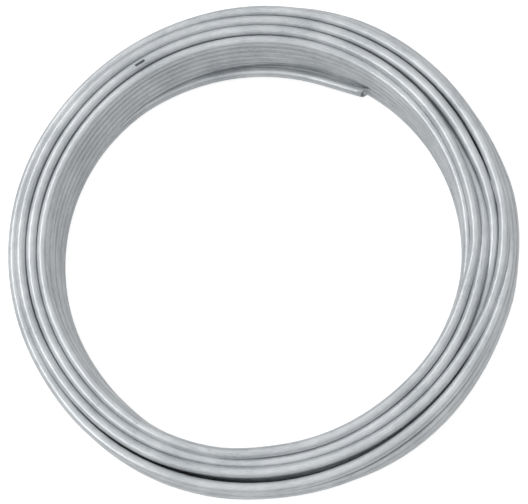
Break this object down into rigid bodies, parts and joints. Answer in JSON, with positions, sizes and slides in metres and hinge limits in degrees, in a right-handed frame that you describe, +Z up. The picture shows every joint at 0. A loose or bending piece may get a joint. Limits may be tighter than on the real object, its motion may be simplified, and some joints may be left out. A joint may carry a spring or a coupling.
{
  "type": "aluminium tube coil",
  "caption": "Flat round coil of bare soft aluminium tube, wound in neat turns about a wide open eye, with the inner end of the tube loose and open.",
  "frame": {"origin": "centre of the footprint on the floor, on the axis of the coil", "axes": "+Z up along the axis of the coil, +X and +Y across it, with the loose inner end at the +Y side of the eye pointing towards +X"},
  "size_m": [0.5906, 0.5906, 0.084],
  "materials": {
    "tube": "bare drawn aluminium, satin, with fine lines along the tube"
  },
  "bodies": {
    "root": {"tube_coil": "tube"}
  },
  "joints": []
}
